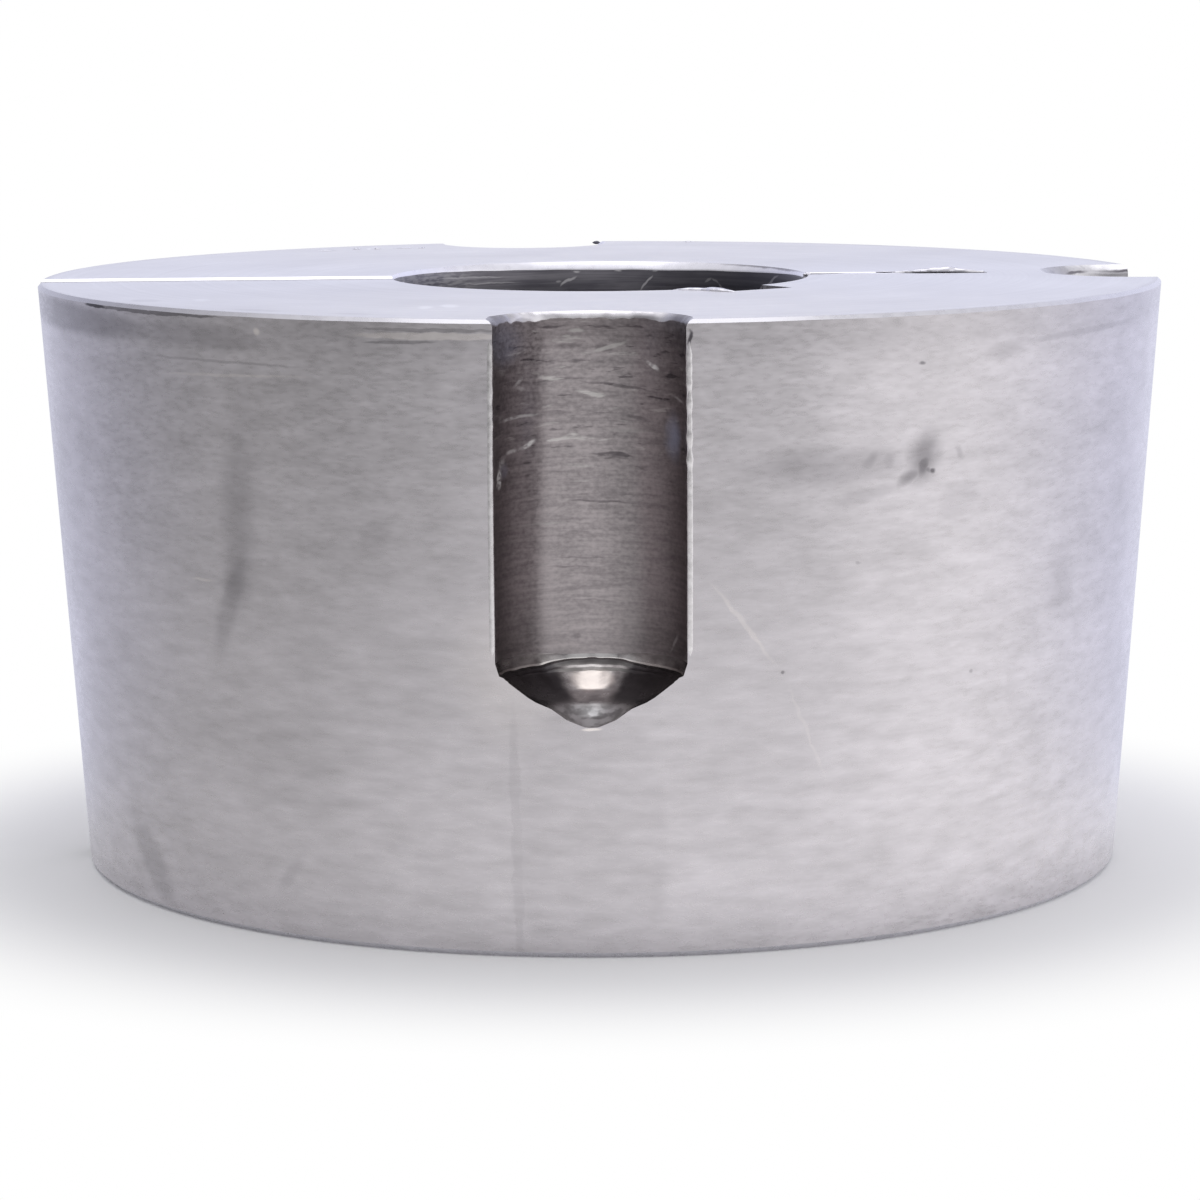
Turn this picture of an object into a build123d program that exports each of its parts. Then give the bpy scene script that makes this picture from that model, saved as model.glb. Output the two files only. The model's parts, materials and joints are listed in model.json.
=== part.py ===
from build123d import *
import math
import os

# Split taper bush for a keyed shaft, turned and slit from one piece of steel.
# Millimetres and degrees. It stands on its small end: +Z runs up the bore from the centre of
# the small end face, and +X runs through the tapped half-hole, with the split behind at -X.

# Turned blank
length = 44.45
large_end_diameter = 85.7
taper_half_angle = 4.0
large_end_edge_break = 0.35
small_end_edge_break = 0.4

# Bore and its keyway, whose depth is measured on its centre line from the bore's circle
bore_diameter = 31.75
bore_edge_chamfer = 0.5
keyway_width = 6.35
keyway_depth = 3.5
keyway_angle = -57.0

# Saw cuts: the split goes right through the wall, the relief cut stops short of the tapped hole
split_width = 3.2
relief_width = 2.0
relief_web = 5.0
slot_edge_break = 0.2

# Half-holes, drilled from the large end. Their axes lie just inside the rim, so the taper
# opens each hole along its outer side.
hole_axis_inset = 1.575
hole_depth = 24.5
drill_point_angle = 118.0
drill_corner_radius = 0.8
screw_hole_diameter = 13.2
screw_hole_angle = 95.0
screw_hole_edge_break = 0.5
thread_diameter = 12.7
countersink_width = 0.75

# Derived sizes
large_end_radius = large_end_diameter / 2
small_end_radius = large_end_radius - length * math.tan(math.radians(taper_half_angle))
bore_radius = bore_diameter / 2
keyway_reach = bore_radius + keyway_depth
split_reach = large_end_radius + split_width
hole_circle_radius = large_end_radius - hole_axis_inset
screw_hole_radius = screw_hole_diameter / 2
thread_radius = thread_diameter / 2
relief_reach = hole_circle_radius - thread_radius - relief_web


def blind_hole(radius, mouth_break):
    """A drilled hole's shape: its mouth is at the origin and its drill point straight below."""
    point_height = radius / math.tan(math.radians(drill_point_angle / 2))
    with BuildPart() as hole:
        with BuildSketch(Plane.XZ) as half:
            with BuildLine():
                Polyline(
                    (0, 0),
                    (radius + mouth_break, 0),
                    (radius, -mouth_break),
                    (radius, -hole_depth),
                    (0, -hole_depth - point_height),
                    close=True,
                )
            make_face()
            shoulder = half.vertices().filter_by_position(Axis.Y, -hole_depth, -hole_depth)
            fillet(shoulder, drill_corner_radius)
        revolve(axis=Axis.Z)
    return hole.part


screw_hole = blind_hole(screw_hole_radius, screw_hole_edge_break)
tapped_hole = blind_hole(thread_radius, countersink_width)

with BuildPart() as taper_bush:
    # Turned blank: half of the section, with every corner broken, spun round the bore's axis
    with BuildSketch(Plane.XZ) as section:
        with BuildLine():
            Polyline(
                (bore_radius, 0),
                (small_end_radius, 0),
                (large_end_radius, length),
                (bore_radius, length),
                close=True,
            )
        make_face()
        chamfer(section.vertices().group_by(Axis.X)[0], bore_edge_chamfer)
        chamfer(section.vertices().sort_by(Axis.X)[-1], large_end_edge_break)
        small_end_corner = section.vertices().group_by(Axis.Y)[0].sort_by(Axis.X)[-1]
        chamfer(small_end_corner, small_end_edge_break)
    revolve(axis=Axis.Z)

    # Keyway, broached the whole length of the bore
    with BuildSketch(Plane.XY.rotated((0, 0, keyway_angle))):
        Rectangle(keyway_reach, keyway_width, align=(Align.MIN, Align.CENTER))
    extrude(amount=length, mode=Mode.SUBTRACT)

    # Split, sawn from the bore out through the taper, and the shorter relief cut opposite it,
    # which lets the bush close evenly on the shaft
    with BuildSketch(Plane.XY):
        Rectangle(split_reach, split_width, align=(Align.MAX, Align.CENTER))
        Rectangle(relief_reach, relief_width, align=(Align.MIN, Align.CENTER))
    extrude(amount=length, mode=Mode.SUBTRACT)
    chamfer(taper_bush.edges().filter_by(Axis.X), slot_edge_break)

    # Plain half-holes either side of the bush: the clamping screws bear on their shoulders
    with Locations((0, 0, length)):
        with PolarLocations(
            hole_circle_radius,
            2,
            start_angle=-screw_hole_angle,
            angular_range=2 * screw_hole_angle,
            endpoint=True,
        ):
            add(screw_hole, mode=Mode.SUBTRACT)

    # Tapped half-hole at the jacking position, cut plain at the thread's outside diameter
    with Locations((hole_circle_radius, 0, length)):
        add(tapped_hole, mode=Mode.SUBTRACT)

taper_bush.part.label = "taper_bush"
os.makedirs("parts", exist_ok=True)
export_step(taper_bush.part, "parts/taper_bush.step")
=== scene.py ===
import json
import math

import bmesh
import bpy
from mathutils import Matrix, Vector, noise


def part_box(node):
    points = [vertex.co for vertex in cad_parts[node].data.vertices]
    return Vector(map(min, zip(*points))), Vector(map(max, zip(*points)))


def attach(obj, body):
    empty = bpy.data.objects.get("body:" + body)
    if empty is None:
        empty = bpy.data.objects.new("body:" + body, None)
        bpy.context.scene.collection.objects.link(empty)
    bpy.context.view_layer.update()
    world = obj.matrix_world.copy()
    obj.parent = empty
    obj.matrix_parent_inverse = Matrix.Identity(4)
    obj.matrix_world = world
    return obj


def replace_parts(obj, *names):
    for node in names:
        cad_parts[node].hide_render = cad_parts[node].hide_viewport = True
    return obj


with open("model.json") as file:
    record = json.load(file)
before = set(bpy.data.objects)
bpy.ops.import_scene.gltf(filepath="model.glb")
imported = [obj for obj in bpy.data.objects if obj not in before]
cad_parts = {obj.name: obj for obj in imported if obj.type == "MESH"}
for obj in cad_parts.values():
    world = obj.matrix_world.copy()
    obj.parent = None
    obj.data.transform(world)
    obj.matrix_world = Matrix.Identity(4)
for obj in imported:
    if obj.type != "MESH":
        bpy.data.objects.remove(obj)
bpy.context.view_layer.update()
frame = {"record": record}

MM = 0.001

# ---------------------------------------------------------------- sizes, in metres
# The frame's mounts give the main sizes, and the rest are the part's own, in millimetres here
MOUNTS = {mount["name"]: mount for mount in frame["record"]["mounts"]}


def stated(mount, size):
    """A size that the frame states for a mount."""
    return MOUNTS[mount]["dims"][size] * MM


def place_of(mount):
    return Vector(MOUNTS[mount]["pos_m"])


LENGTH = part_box("taper_bush")[1].z
BORE_RADIUS = stated("shaft_bore", "r_mm")
BORE_EDGE = (LENGTH - stated("shaft_bore", "length_mm")) / 2
LARGE_RADIUS = stated("taper_seat", "r_mm")
TAPER_SLOPE = math.tan(math.radians(4.0))
LARGE_EDGE = 0.27 * MM
SMALL_EDGE = 0.4 * MM
MOUTH_WIDEST = math.radians(78)  # the bearing at which the bore's broken corner is widest

KEYWAY_WIDTH = 6.35 * MM
KEYWAY_REACH = BORE_RADIUS + 3.5 * MM
KEYWAY_ANGLE = math.atan2(place_of("keyway").y, place_of("keyway").x)
SPLIT_WIDTH = 3.2 * MM
SPLIT_EDGE = 0.2 * MM
RELIEF_WIDTH = 2.0 * MM
RELIEF_EDGE = SPLIT_EDGE / 4

SCREW_RADIUS = stated("screw_half_hole_front", "r_mm")
FRONT_CENTRE = place_of("screw_half_hole_front")
BACK_CENTRE = place_of("screw_half_hole_back")
SHOULDER = LENGTH - stated("jacking_half_hole", "length_mm")
MOUTH_BREAK = 0.4 * MM
FRONT_RAGGEDNESS, BACK_RAGGEDNESS = 0.6, 0.3  # how unevenly the mouths are broken

JACK_CENTRE = place_of("jacking_half_hole")
THREAD_RADIUS = stated("jacking_half_hole", "r_mm")
THREAD_CREST = THREAD_RADIUS - 0.95 * MM
THREAD_PITCH = 25.4 / 13 * MM
THREAD_TURNS = 10
THREAD_INSET = 0.15 * MM  # how far inside the taper the ridges end
COUNTERSINK = 0.75 * MM
RELIEF_REACH = JACK_CENTRE.x - THREAD_RADIUS - 5.0 * MM
RELIEF_SIDE = RELIEF_WIDTH / MM / 2  # in millimetres, for what lies along the cut

CLEAR = 2 * MM  # how far a cutter runs past what it cuts
SHARP_ANGLE = math.radians(28)
BLANK_STEPS, DRILL_STEPS = 360, 180  # faces round each circle

# The worn drill left a stepped point under an uneven lip: share of the radius, then millimetres
# below the shoulder at the back of the hole and at its sides
WORN_POINT = [
    (1.0, -0.62, -0.85), (0.96, -0.36, 0.0), (0.91, -0.28, 0.14), (0.895, 0.05, 0.26),
    (0.87, 0.20, 0.36), (0.86, 0.46, 0.46), (0.66, 1.62, 1.48), (0.58, 1.85, 1.80),
    (0.42, 2.22, 2.25), (0.26, 3.02, 3.02), (0.09, 3.52, 3.52), (0.0, 3.58, 3.58),
]
LIP_SHARE = 0.8  # outside this share of the radius the steps waver
LIP_WAVER = 0.09 * MM


def taper_radius(z):
    """Radius of the tapered outside at a height."""
    return LARGE_RADIUS - (LENGTH - z) * TAPER_SLOPE


def steps_between(low, high, count):
    return [low + (high - low) * i / count for i in range(count + 1)]


def eased(value, low, high):
    """A smooth step from 0 to 1 as the value goes from low to high."""
    share = min(max((value - low) / (high - low), 0.0), 1.0)
    return share * share * (3 - 2 * share)


def waver(turn, grain, seed):
    """Noise from -1 to 1 round a circle; a larger grain wavers more often."""
    return noise.noise(Vector((grain * math.cos(turn), grain * math.sin(turn), seed)))


# ---------------------------------------------------------------- node trees
class Graph:
    """Short words for building one node tree."""

    def __init__(self, tree):
        self.tree = tree

    def node(self, kind, **settings):
        made = self.tree.nodes.new("ShaderNode" + kind)
        for key, value in settings.items():
            setattr(made, key, value)
        return made

    def feed(self, socket, value):
        if isinstance(value, bpy.types.NodeSocket):
            self.tree.links.new(value, socket)
        else:
            socket.default_value = value

    def math(self, operation, *values, clamp=False):
        made = self.node("Math", operation=operation, use_clamp=clamp)
        for socket, value in zip(made.inputs, values):
            self.feed(socket, value)
        return made.outputs[0]

    def total(self, *parts):
        """Adds up pairs of (value, weight)."""
        added = 0.0
        for value, weight in parts:
            added = self.math("MULTIPLY_ADD", value, weight, added)
        return added

    def most(self, values):
        strongest = values[0]
        for value in values[1:]:
            strongest = self.math("MAXIMUM", strongest, value)
        return strongest

    def vector(self, x, y, z):
        made = self.node("CombineXYZ")
        for socket, value in zip(made.inputs, (x, y, z)):
            self.feed(socket, value)
        return made.outputs[0]

    def parts(self, vector):
        made = self.node("SeparateXYZ")
        self.feed(made.inputs[0], vector)
        return made.outputs

    def noise(self, vector, detail=2.0, roughness=0.5):
        made = self.node("TexNoise")
        made.inputs["Scale"].default_value = 1.0
        made.inputs["Detail"].default_value = detail
        made.inputs["Roughness"].default_value = roughness
        self.feed(made.inputs["Vector"], vector)
        return made.outputs["Fac"]

    def span(self, value, low, high, start=0.0, stop=1.0, smooth=True):
        """Maps low..high to start..stop, and holds the ends."""
        made = self.node("MapRange", interpolation_type="SMOOTHSTEP" if smooth else "LINEAR")
        self.feed(made.inputs["Value"], value)
        for socket, number in zip(made.inputs[1:5], (low, high, start, stop)):
            self.feed(socket, number)
        return made.outputs["Result"]

    def colours(self, factor, low, high, blend="MIX"):
        made = self.node("Mix", data_type="RGBA", blend_type=blend)
        self.feed(made.inputs["Factor"], factor)
        self.feed(made.inputs["A"], low if not isinstance(low, tuple) else (*low, 1.0))
        self.feed(made.inputs["B"], high if not isinstance(high, tuple) else (*high, 1.0))
        return made.outputs["Result"]

    def ramp(self, factor, stops):
        """Grey levels at given places from 0 to 1, joined by straight lines."""
        made = self.node("ValToRGB")
        elements = made.color_ramp.elements
        for place, _ in stops[2:]:
            elements.new(place)
        for element, (place, level) in zip(elements, sorted(stops)):
            element.position = place
            element.color = (level, level, level, 1.0)
        self.feed(made.inputs["Fac"], factor)
        return made.outputs["Color"]


class Steel(Graph):
    """A machined steel surface, with a chart on which marks are placed.

    On a round wall the chart runs in degrees round its axis and millimetres up; on an end face
    it is flat, in millimetres.
    """

    def __init__(self, name, anisotropic=0.0, centre=(0.0, 0.0), chart_radius=None):
        self.material = bpy.data.materials.new(name)
        self.material.use_nodes = True
        super().__init__(self.material.node_tree)
        self.shader = self.tree.nodes["Principled BSDF"]
        self.shader.inputs["Metallic"].default_value = 1.0
        self.shader.inputs["Anisotropic"].default_value = anisotropic
        self.shader.inputs["Anisotropic Rotation"].default_value = 0.25
        tangent = self.node("Tangent", direction_type="RADIAL", axis="Z")
        self.feed(self.shader.inputs["Tangent"], tangent.outputs["Tangent"])
        self.place = self.node("TexCoord").outputs["Object"]
        self.x, self.y, self.z = self.parts(self.place)
        across = self.math("SUBTRACT", self.x, centre[0])
        back = self.math("SUBTRACT", self.y, centre[1])
        self.radius = self.math(
            "SQRT", self.math("MULTIPLY_ADD", across, across, self.math("MULTIPLY", back, back))
        )
        if chart_radius:
            self.unit = chart_radius * math.radians(1)
            round_it = self.math("MULTIPLY", self.math("ARCTAN2", back, across), chart_radius)
            self.chart = self.ragged(self.vector(round_it, self.z, 0.0))
        else:
            self.unit = MM
            self.chart = self.ragged(self.vector(self.x, self.y, 0.0))

    def ragged(self, chart):
        """Shifts the chart about by tenths of a millimetre, so that marks have uneven edges."""
        cloud = self.node("TexNoise")
        cloud.inputs["Scale"].default_value = 1 / (1.1 * MM)
        self.feed(cloud.inputs["Vector"], self.place)
        shift = self.node("VectorMath", operation="SUBTRACT")
        self.feed(shift.inputs[0], cloud.outputs["Color"])
        shift.inputs[1].default_value = (0.5, 0.5, 0.5)
        moved = self.node("VectorMath", operation="MULTIPLY_ADD")
        self.feed(moved.inputs[0], shift.outputs["Vector"])
        moved.inputs[1].default_value = (0.8 * MM, 0.3 * MM, 0)
        self.feed(moved.inputs[2], chart)
        return moved.outputs["Vector"]

    def grain(self, x, y, z, detail=2.0):
        """Noise whose specks have the given sizes, in millimetres."""
        sized = [
            self.math("MULTIPLY", place, 1 / (size * MM))
            for place, size in zip((self.x, self.y, self.z), (x, y, z))
        ]
        return self.noise(self.vector(*sized), detail)

    def streaks(self, across, length, thickness, detail=2.0):
        """Noise drawn out round the axis, in millimetres: across is the way the tool fed."""
        sized = [
            self.math("MULTIPLY", place, 1 / (size * MM))
            for place, size in ((self.x, length), (self.y, length), (across, thickness))
        ]
        return self.noise(self.vector(*sized), detail)

    def mark(self, along, up, half_length, half_width, strength=1.0, tilt=0.0, core=0.3):
        """A soft oval at a place on the chart; its sizes are in mm, its tilt up to the right."""
        placed = self.node("Mapping", vector_type="TEXTURE")
        self.feed(placed.inputs["Vector"], self.chart)
        placed.inputs["Location"].default_value = (along * self.unit, up * MM, 0)
        placed.inputs["Rotation"].default_value = (0, 0, math.radians(tilt))
        placed.inputs["Scale"].default_value = (half_length * MM, half_width * MM, 1)
        oval = self.node("TexGradient", gradient_type="SPHERICAL")
        self.feed(oval.inputs["Vector"], placed.outputs["Vector"])
        return self.span(oval.outputs["Fac"], 0.0, 1.0 - core, 0.0, strength)

    def stroke(self, start, stop, half_width, strength=1.0, core=0.4):
        """A thin mark from one place on the chart to another."""
        run = self.unit / MM * (stop[0] - start[0])
        rise = stop[1] - start[1]
        return self.mark(
            (start[0] + stop[0]) / 2, (start[1] + stop[1]) / 2, math.hypot(run, rise) / 2,
            half_width, strength, math.degrees(math.atan2(rise, run)), core,
        )

    def finish(self, colour, roughness, height, depth):
        """Joins the looks to the shader; depth is the bump's, in metres."""
        self.feed(self.shader.inputs["Base Color"], colour)
        self.feed(self.shader.inputs["Roughness"], roughness)
        bump = self.node("Bump")
        bump.inputs["Strength"].default_value = 1.0
        bump.inputs["Distance"].default_value = depth
        self.feed(bump.inputs["Height"], height)
        self.feed(self.shader.inputs["Normal"], bump.outputs["Normal"])
        return self.material


# ---------------------------------------------------------------- materials
def taper_finish():
    """The turned taper: fine feed lines under a worn grain, stains and nicks of use, and painted
    shade and highlights.
    """
    steel = Steel("taper_steel", 0.75, chart_radius=LARGE_RADIUS)
    lines = steel.streaks(steel.z, 25, 0.22)
    flecks = steel.streaks(steel.z, 0.9, 0.27, 1.0)
    patches = steel.streaks(steel.z, 3.0, 0.8, 2.0)
    clouds = steel.streaks(steel.z, 14, 6, 3.0)
    tone = steel.total((flecks, 0.27), (patches, 0.38), (clouds, 0.35))
    colour = steel.colours(
        steel.span(tone, 0.3, 0.7, smooth=False), (0.45, 0.43, 0.445), (0.67, 0.64, 0.67)
    )
    # painted shade: the steel darker towards the top, under the rim
    painted_rim_shade = steel.span(steel.z, LENGTH - 3.4 * MM, LENGTH - 1.6 * MM, 0.0, 0.1)
    # a stain that ran down the left side: its parts add up, so that none of them has an edge
    stain = steel.total(
        (steel.stroke((-129.0, 44.0), (-132.0, 21.0), 2.6, 0.1, 0.2), 1.0),
        (steel.stroke((-130.4, 38.0), (-132.4, 21.5), 2.2, 0.12, 0.2), 1.0),
        (steel.mark(-131.7, 25.7, 3.2, 2.0, 0.15, 82, 0.1), 1.0),
        (steel.stroke((-130.8, 27.8), (-135.9, 18.7), 1.3, 0.2, 0.2), 1.0),
    )
    dark = steel.most([
        # an impact pit, painted dark as shade in its hollow, with its tail, and the smudges left
        # of it
        steel.mark(-62.1, 34.3, 2.8, 2.0, 0.5, 72, 0.1),
        steel.mark(-62.1, 33.8, 1.5, 1.0, 0.66, 66, 0.15),
        steel.stroke((-65.6, 32.2), (-61.4, 34.0), 0.75, 0.5, 0.1),
        steel.stroke((-62.6, 33.7), (-60.5, 33.2), 0.4, 0.6, 0.1),
        steel.mark(-60.9, 33.3, 0.42, 0.3, 0.75, 10, 0.2),
        steel.stroke((-63.5, 32.6), (-72.5, 31.4), 0.7, 0.15),
        steel.mark(-68.2, 34.3, 1.6, 1.0, 0.36, 35, 0.1),
        steel.mark(-66.0, 34.2, 1.3, 1.0, 0.3, 40, 0.1),
        steel.stroke((-84.0, 34.2), (-60.0, 34.0), 1.8, 0.23, 0.3),
        steel.mark(-57.8, 34.5, 0.9, 0.4, 0.2, -60, 0.1),
        stain,
        # painted shade under the rim and along its corner
        steel.stroke((-194.0, 43.3), (-134.0, 42.7), 1.5, 0.42, 0.5),
        steel.stroke((-148.0, 42.9), (-122.0, 42.5), 1.3, 0.27, 0.4),
        steel.stroke((-155.0, 44.05), (-130.0, 44.05), 0.18, 0.6, 0.7),
        steel.stroke((-154.5, 44.15), (-148.5, 44.0), 0.2, 0.95, 0.5),
        # tool lines round the top
        steel.stroke((-117.0, 43.7), (-101.5, 43.7), 0.14, 0.35, 0.8),
        steel.stroke((-117.0, 42.75), (-108.0, 42.9), 0.16, 0.4, 0.6),
        steel.stroke((-58.0, 41.7), (-19.0, 42.6), 0.4, 0.2, 0.3),
        steel.stroke((-145.0, 41.0), (-120.0, 40.9), 0.14, 0.2),
        # painted shade where the steel mirrors darker parts of the room: a faint patch on the
        # right, a wedge at the lower left, and the edges of the area under the screw hole
        steel.mark(-41.5, 24.5, 2.8, 4.4, 0.13, 10, 0.2),
        steel.mark(-57.5, 31.2, 2.6, 1.6, 0.12, 20),
        steel.mark(-52.0, 41.6, 3.4, 1.0, 0.14, 10, 0.2),
        steel.stroke((-154.5, 8.0), (-144.0, -0.5), 2.2, 0.22, 0.3),
        steel.stroke((-102.6, 20.0), (-102.2, -4.0), 0.5, 0.09, 0.6),
        steel.mark(-95.0, 8.0, 6.0, 12.0, 0.05, 0, 0.85),
        steel.mark(-103.0, 39.0, 4.5, 3.4, 0.13, 0, 0.2),
        steel.mark(-115.8, 29.5, 1.7, 1.6, 0.11, 0, 0.2),
        steel.stroke((-124.8, 6.8), (-129.8, 2.6), 0.8, 0.13, 0.2),
        # specks
        steel.mark(-76.3, 19.9, 0.22, 0.2, 0.5),
        steel.mark(-62.7, 40.9, 0.36, 0.2, 0.55),
        steel.mark(-54.7, 18.7, 0.26, 0.2, 0.3),
        steel.mark(-68.9, 27.2, 0.3, 0.17, 0.2),
        steel.mark(-85.9, 43.2, 0.22, 0.8, 0.85),
        # painted shade under the rim
        painted_rim_shade,
    ])
    light = steel.most([
        steel.stroke((-84.3, 27.0), (-76.5, 19.9), 0.26, 0.25),
        steel.stroke((-76.5, 19.9), (-71.0, 11.3), 0.2, 0.12),
        steel.stroke((-118.0, 43.25), (-101.0, 43.3), 0.3, 0.42, 0.7),
        steel.mark(-127.4, 43.2, 0.3, 0.36, 0.6),
        steel.mark(-103.0, 20.5, 5.5, 7.0, 0.2, 0, 0.2),
        steel.stroke((-142.0, 39.8), (-120.0, 40.3), 0.14, 0.25),
        steel.mark(-136.5, 25.3, 1.6, 0.16, 0.3),
        # a painted highlight below the notch's tip, where the lip along the edge catches the light
        steel.mark(-95.0, 16.27, 0.9, 0.13, 0.8),
    ])
    colour = steel.colours(dark, colour, (0.035, 0.03, 0.04))
    colour = steel.colours(light, colour, (0.88, 0.82, 0.79))
    height = steel.total((lines, 0.5), (flecks, 0.5), (dark, -2.0))
    return steel.finish(colour, steel.span(flecks, 0.3, 0.7, 0.26, 0.36), height, 1.3e-6)


def face_finish():
    """The faced ends: finer turning, seen as faint rings, with painted shade at the outer edge."""
    steel = Steel("face_steel", 0.6)
    rings = steel.streaks(steel.radius, 25, 0.3)
    flecks = steel.grain(0.9, 0.9, 0.9, 3.0)
    clouds = steel.grain(9, 9, 9, 3.0)
    tone = steel.total((rings, 0.25), (flecks, 0.4), (clouds, 0.35))
    colour = steel.colours(
        steel.span(tone, 0.3, 0.7, smooth=False), (0.54, 0.53, 0.55), (0.74, 0.73, 0.75)
    )
    # painted shade on the face, darker towards its outer edge
    painted_shade = steel.span(
        steel.math("MULTIPLY_ADD", clouds, 2 * MM, steel.radius),
        LARGE_RADIUS + 0.1 * MM, LARGE_RADIUS + 0.9 * MM, 0.0, 0.25,
    )
    dark = steel.most([
        painted_shade,
        steel.mark(-20.4, 32.7, 0.9, 0.5, 0.4, 20),
        steel.mark(-18.1, 34.6, 0.5, 0.6, 0.4),
        steel.mark(-14.0, 35.4, 1.2, 0.4, 0.35, 10),
        steel.mark(11.0, 40.6, 1.2, 0.3, 0.4, -15),
        steel.mark(26.0, 33.0, 3.0, 0.4, 0.25, -38),
        steel.mark(-34.0, -21.2, 1.9, 1.3, 0.2, -58),
        steel.mark(-26.0, -31.2, 3.0, 1.2, 0.18, -40),
        steel.mark(-19.5, -35.0, 2.2, 0.9, 0.13, -28),
    ])
    light = steel.most([
        steel.mark(-14.3, -30.1, 0.7, 2.0, 0.35),
        steel.mark(-12.6, -29.0, 0.8, 2.2, 0.35),
        steel.mark(-30.0, -21.0, 0.8, 1.8, 0.25),
        steel.mark(-17.1, 34.7, 0.25, 0.9, 0.6),
    ])
    colour = steel.colours(dark, colour, (0.12, 0.11, 0.14))
    colour = steel.colours(light, colour, (0.95, 0.95, 0.97))
    height = steel.total((rings, 0.6), (flecks, 0.6))
    return steel.finish(colour, steel.span(flecks, 0.3, 0.7, 0.28, 0.36), height, 0.8e-6)


def edge_finish(name, dark, light, centre=(0, 0), radius=BORE_RADIUS, shade_marks=()):
    """Broken corners, bright where they face up; the marks listed last are painted shade, grey
    where a corner faces away from the light.
    """
    steel = Steel(name, 0.3, centre, radius)
    rub = steel.grain(0.8, 0.8, 0.8, 2.0)
    colour = steel.colours(steel.span(rub, 0.3, 0.7), dark, light)
    if shade_marks:
        # painted shade where the corner faces away from the light
        corner_shade = steel.most([steel.mark(*spot) for spot in shade_marks])
        colour = steel.colours(corner_shade, colour, (0.16, 0.15, 0.17))
    return steel.finish(colour, steel.span(rub, 0.3, 0.7, 0.26, 0.32), rub, 0.2e-6)


def bore_finish():
    """The bore: rougher turning, painted dark for the shade inside it, scored where shafts went
    in.
    """
    steel = Steel("bore_steel", 0.7, chart_radius=BORE_RADIUS)
    lines = steel.streaks(steel.z, 8, 0.2, 3.0)
    patches = steel.streaks(steel.z, 3.5, 0.8, 2.0)
    # dark colours: painted shade inside the bore
    colour = steel.colours(
        steel.span(steel.total((lines, 0.55), (patches, 0.45)), 0.32, 0.68),
        (0.13, 0.125, 0.145), (0.265, 0.255, 0.28),
    )
    # lighter specks over the left of the far wall
    lighter_specks = steel.math(
        "MULTIPLY", steel.span(steel.grain(0.9, 0.9, 0.2, 3.0), 0.4, 0.6),
        steel.mark(156.0, 43.0, 9.5, 4.0, 0.5, core=0.7),
    )
    colour = steel.colours(lighter_specks, colour, (0.42, 0.41, 0.41))
    scores = steel.most([
        steel.stroke((74.1, 42.1), (70.3, 43.5), 0.12, 0.7, 0.6),
        steel.stroke((32.5, 42.4), (23.2, 44.0), 0.14, 0.9, 0.6),
        steel.stroke((97.8, 42.4), (92.8, 43.4), 0.12, 0.6),
        steel.mark(97.5, 42.9, 0.4, 0.12, 0.4),
        steel.mark(92.5, 43.7, 0.45, 0.12, 0.6),
        steel.mark(80.5, 43.75, 0.35, 0.12, 0.5),
        steel.mark(69.5, 43.75, 0.4, 0.12, 0.4),
        steel.stroke((54.5, 42.9), (51.0, 43.35), 0.13, 0.7),
        steel.stroke((51.6, 43.3), (48.6, 42.9), 0.13, 0.6),
        steel.stroke((49.2, 43.0), (47.6, 42.3), 0.14, 0.6),
        steel.mark(160.0, 43.6, 0.4, 0.2, 0.5),
        steel.stroke((143.0, 43.6), (112.0, 43.4), 0.1, 0.3),
        steel.stroke((133.0, 43.0), (107.0, 42.9), 0.08, 0.3),
    ])
    colour = steel.colours(scores, colour, (0.8, 0.78, 0.8))
    shaded = steel.mark(36.0, 42.0, 13.0, 6.0, 0.65)
    colour = steel.colours(shaded, colour, (0.045, 0.045, 0.06))
    return steel.finish(colour, steel.span(patches, 0.3, 0.7, 0.3, 0.42), lines, 3e-6)


def sawn_finish():
    """Walls of the saw cuts: straight marks left along the cut, with painted highlights at the
    broken top edges and a painted shadow under the relief's burr.
    """
    steel = Steel("sawn_steel")
    marks = steel.grain(7, 3, 0.25, 3.0)
    colour = steel.colours(steel.span(marks, 0.3, 0.7), (0.40, 0.385, 0.40), (0.58, 0.565, 0.58))
    # a painted highlight along the top broken edges
    broken = steel.span(steel.z, LENGTH - 0.6 * MM, LENGTH - 0.4 * MM)
    colour = steel.colours(broken, colour, (0.93, 0.92, 0.95))
    # painted shadow under the burr along the relief cut, on its far wall
    painted_shade = steel.mark(26.4, RELIEF_SIDE, 4.0, 0.8, 0.9)
    colour = steel.colours(painted_shade, colour, (0.04, 0.04, 0.05))
    return steel.finish(colour, steel.span(marks, 0.3, 0.7, 0.28, 0.42), marks, 5e-6)


def broached_finish():
    """Walls of the keyway: marks run down it."""
    steel = Steel("broached_steel")
    marks = steel.grain(0.3, 0.3, 9, 3.0)
    colour = steel.colours(steel.span(marks, 0.3, 0.7), (0.34, 0.325, 0.34), (0.52, 0.505, 0.52))
    return steel.finish(colour, steel.span(marks, 0.3, 0.7, 0.25, 0.4), marks, 5e-6)


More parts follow.
